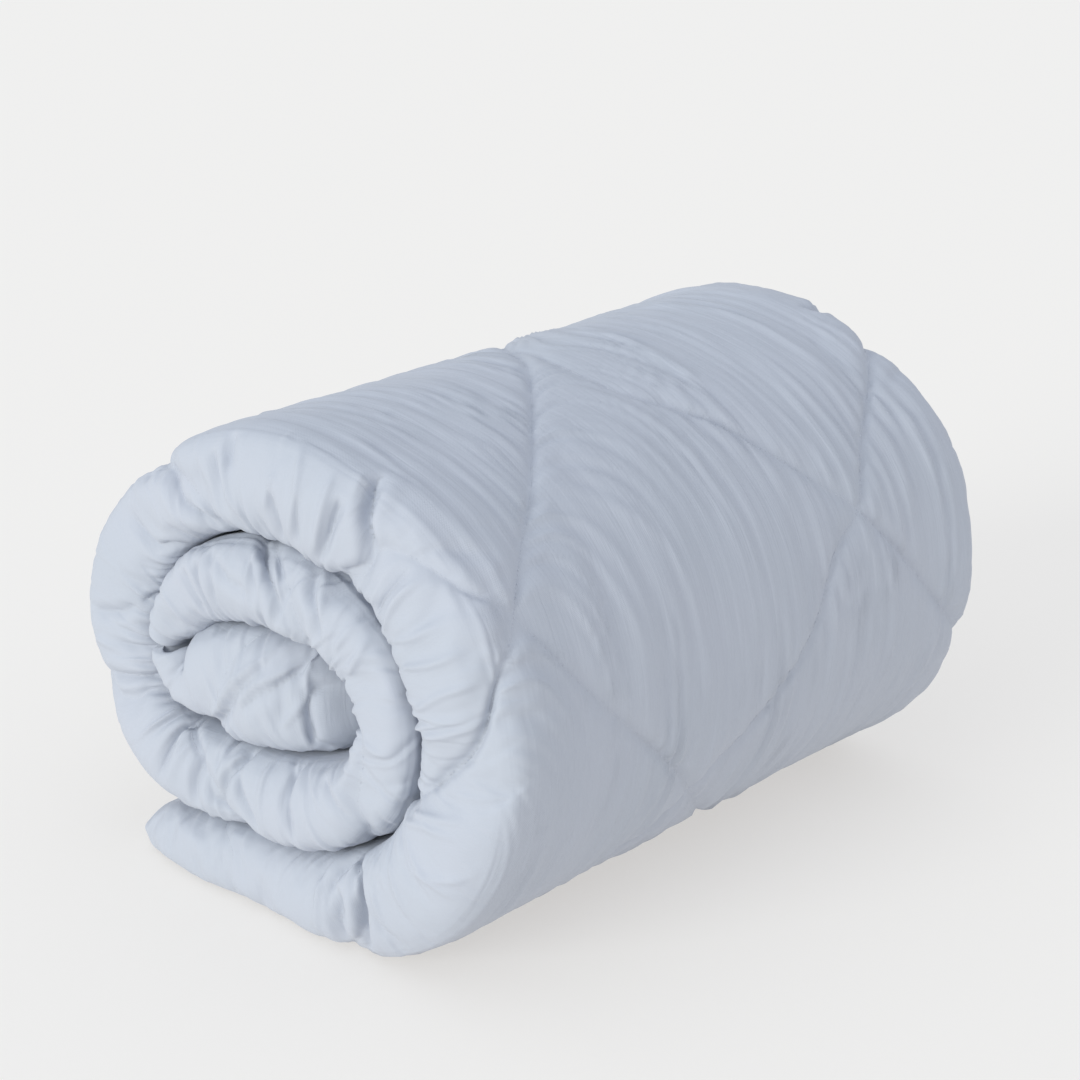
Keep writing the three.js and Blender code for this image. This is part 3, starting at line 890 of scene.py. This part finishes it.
def stitch_places():
    """Where the visible stitches lie: middles, directions and outward directions."""
    tree, corners, laid = flat_cloth()
    now, out = places_of(fine_mesh), normals_of(fine_mesh)
    middles, alongs, ups = [], [], []
    for line in SEAMS:
        p = through(line, 2.0)
        run = np.concatenate([[0], np.cumsum(np.linalg.norm(np.diff(p, axis=0), axis=1))])
        at = np.arange(0, run[-1], STITCH_PITCH * 1000)
        last = None
        for a, b in zip(np.interp(at, run, p[:, 0]), np.interp(at, run, p[:, 1])):
            spot, _, index, away = tree.find_nearest(Vector((a, b, 0.0)))
            hidden_face = (a > 1290 or a < 165) and abs(b) < np.interp(a, row_wound, row_straight)
            if spot is None or away > 1.0 or hidden_face:
                last = None
                continue
            own = list(corners[index])
            weights = np.array(poly_3d_calc([Vector(laid[k]) for k in own], spot))
            here, up = weights @ now[own], weights @ out[own]
            if last is not None and here[2] > 0.004 and np.linalg.norm(here - last) < 0.006:
                middles.append((here + last) / 2)
                alongs.append(here - last)
                ups.append(up)
            last = here
    return np.array(middles), np.array(alongs), np.array(ups)


def stitching():
    """A Geometry Nodes tree: a short arched thread on every point, along the seam."""
    tree = bpy.data.node_groups.new("lockstitching", "GeometryNodeTree")
    nodes, links = tree.nodes, tree.links
    taken, given = with_sockets(tree, {"Geometry": "Geometry", "Stitch length": "Float",
                                       "Thread radius": "Float", "Seed": "Int",
                                       "Thread": "Material"}, {"Geometry": "Geometry"})

    def times(value, share):
        node = nodes.new("ShaderNodeMath")
        node.operation = "MULTIPLY"
        node.inputs[1].default_value = share
        links.new(value, node.inputs[0])
        return node.outputs[0]

    arch = nodes.new("GeometryNodeCurveQuadraticBezier")
    arch.inputs["Resolution"].default_value = 4
    for end, length_share, rise in (("Start", -0.5, -1.3), ("Middle", 0.0, 1.9), ("End", 0.5, -1.3)):
        point = nodes.new("ShaderNodeCombineXYZ")
        links.new(times(taken.outputs["Stitch length"], length_share), point.inputs["X"])
        links.new(times(taken.outputs["Thread radius"], rise), point.inputs["Z"])
        links.new(point.outputs[0], arch.inputs[end])
    section = nodes.new("GeometryNodeCurvePrimitiveCircle")
    section.inputs["Resolution"].default_value = 5
    links.new(taken.outputs["Thread radius"], section.inputs["Radius"])
    thread = nodes.new("GeometryNodeCurveToMesh")
    thread.inputs["Fill Caps"].default_value = True
    links.new(arch.outputs[0], thread.inputs["Curve"])
    links.new(section.outputs["Curve"], thread.inputs["Profile Curve"])

    turn = None
    for name, axis in (("along", "X"), ("up", "Z")):
        read = nodes.new("GeometryNodeInputNamedAttribute")
        align = nodes.new("FunctionNodeAlignRotationToVector")
        read.data_type = "FLOAT_VECTOR"
        read.inputs["Name"].default_value = name
        align.axis = axis
        align.pivot_axis = "AUTO" if turn is None else "X"
        links.new(read.outputs["Attribute"], align.inputs["Vector"])
        if turn is not None:
            links.new(turn, align.inputs["Rotation"])
        turn = align.outputs["Rotation"]
    size = nodes.new("FunctionNodeRandomValue")
    size.inputs[2].default_value, size.inputs[3].default_value = 0.88, 1.08
    links.new(taken.outputs["Seed"], size.inputs["Seed"])
    spread = nodes.new("GeometryNodeInstanceOnPoints")
    links.new(taken.outputs["Geometry"], spread.inputs["Points"])
    links.new(thread.outputs[0], spread.inputs["Instance"])
    links.new(turn, spread.inputs["Rotation"])
    links.new(size.outputs[1], spread.inputs["Scale"])
    real = nodes.new("GeometryNodeRealizeInstances")
    dyed = nodes.new("GeometryNodeSetMaterial")
    links.new(spread.outputs[0], real.inputs[0])
    links.new(real.outputs[0], dyed.inputs["Geometry"])
    links.new(taken.outputs["Thread"], dyed.inputs["Material"])
    links.new(dyed.outputs[0], given.inputs["Geometry"])
    return tree


def spun_thread(lint):
    """The material of the sewing thread: two plies that wind round each other."""
    material = bpy.data.materials.new("white_spun_thread")
    material.use_nodes = True
    nodes, links = material.node_tree.nodes, material.node_tree.links
    shader = nodes["Principled BSDF"]
    shader.inputs["Base Color"].default_value = (0.53, 0.56, 0.63, 1)
    shader.inputs["Sheen Weight"].default_value = 0.1
    place = nodes.new("ShaderNodeTexCoord")
    add_lint(material, lint, place.outputs["Object"], 900.0, 0.5, 0.75)
    plies = nodes.new("ShaderNodeTexWave")
    plies.bands_direction = "DIAGONAL"
    plies.inputs["Scale"].default_value = 260.0
    plies.inputs["Distortion"].default_value = 0.6
    links.new(place.outputs["Object"], plies.inputs["Vector"])
    links.new(add_bump(material, plies.outputs["Fac"], 0.4, 0.0001), shader.inputs["Normal"])
    return material


middles, alongs, ups = stitch_places()
seam_points = bpy.data.meshes.new("seam_points")
seam_points.from_pydata([tuple(p) for p in middles], [], [])
for name, values in (("along", alongs), ("up", ups)):
    kept = seam_points.attributes.new(name, "FLOAT_VECTOR", "POINT")
    kept.data.foreach_set("vector", values.astype(np.float32).ravel())
sewn = in_scene("seam_points", seam_points)
sewing = sewn.modifiers.new("sewing", "NODES")
sewing.node_group = stitching()
settings = {"Stitch length": STITCH_LENGTH, "Thread radius": THREAD_RADIUS, "Seed": 7,
            "Thread": spun_thread(lint)}
for socket in sewing.node_group.interface.items_tree:
    if socket.in_out == "INPUT" and socket.name in settings:
        sewing[socket.identifier] = settings[socket.name]
graph = bpy.context.evaluated_depsgraph_get()
stitch_mesh = bpy.data.meshes.new_from_object(sewn.evaluated_get(graph))
stitch_mesh.name = "quilting_stitches"
bpy.data.objects.remove(sewn)
for polygon in stitch_mesh.polygons:
    polygon.use_smooth = len(polygon.vertices) == 4
stitches = in_scene("quilting_stitches", stitch_mesh)
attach(stitches, "root")

# THE STAGE: floor, light, camera
# A pale sweep of studio paper, a broad soft light from in front of the roll's near end, a faint cool
# light from straight above and even white light from all round.
floor_mesh = bpy.data.meshes.new("floor")
floor_mesh.from_pydata([(-30, -30, 0), (30, -30, 0), (30, 30, 0), (-30, 30, 0)], [], [(0, 1, 2, 3)])
floor = in_scene("floor", floor_mesh)
paper = bpy.data.materials.new("pale_paper")
paper.use_nodes = True
paper_nodes = paper.node_tree.nodes
paper_shader = paper_nodes["Principled BSDF"]
paper_shader.inputs["Base Color"].default_value = (0.47, 0.47, 0.47, 1)
paper_shader.inputs["Roughness"].default_value = 1.0
paper_shader.inputs["Specular IOR Level"].default_value = 0.0
paper_shader.inputs["Emission Color"].default_value = (0.969, 0.931, 0.880, 1)
paper_shader.inputs["Emission Strength"].default_value = 0.465
floor_mesh.materials.append(paper)

camera_data = bpy.data.cameras.new("camera")
camera_data.lens, camera_data.sensor_width = 84.0, 36.0
camera = in_scene("camera", camera_data)
bpy.context.scene.camera = camera
turned, raised = math.radians(43.0), math.radians(20.6)
back = Vector((math.sin(turned) * math.cos(raised), -math.cos(turned) * math.cos(raised),
               math.sin(raised)))
camera.location = Vector((-0.0438, 0.0456, 0.2194)) + back * 2.16
camera.rotation_euler = (-back).to_track_quat("-Z", "Y").to_euler()

for name, strength, across, colour, aim in (
        ("key", 1.60, 28, (0.985, 1.0, 0.94), (0.06, 0.96, -0.24)),
        ("sky", 0.42, 120, (0.37, 0.63, 1.0), (0.0, 0.0, -1.0))):
    light_data = bpy.data.lights.new(name, "SUN")
    light_data.energy, light_data.angle, light_data.color = strength, math.radians(across), colour
    light = in_scene(name, light_data)
    light.rotation_euler = Vector(aim).to_track_quat("-Z", "Y").to_euler()
world = bpy.data.worlds.new("world")
bpy.context.scene.world = world
world.use_nodes = True
world.node_tree.nodes["Background"].inputs["Color"].default_value = (1, 1, 1, 1)
world.node_tree.nodes["Background"].inputs["Strength"].default_value = 0.72
bpy.context.scene.view_settings.view_transform = "Standard"

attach(sheet, "root")
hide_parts("rolled_protector")
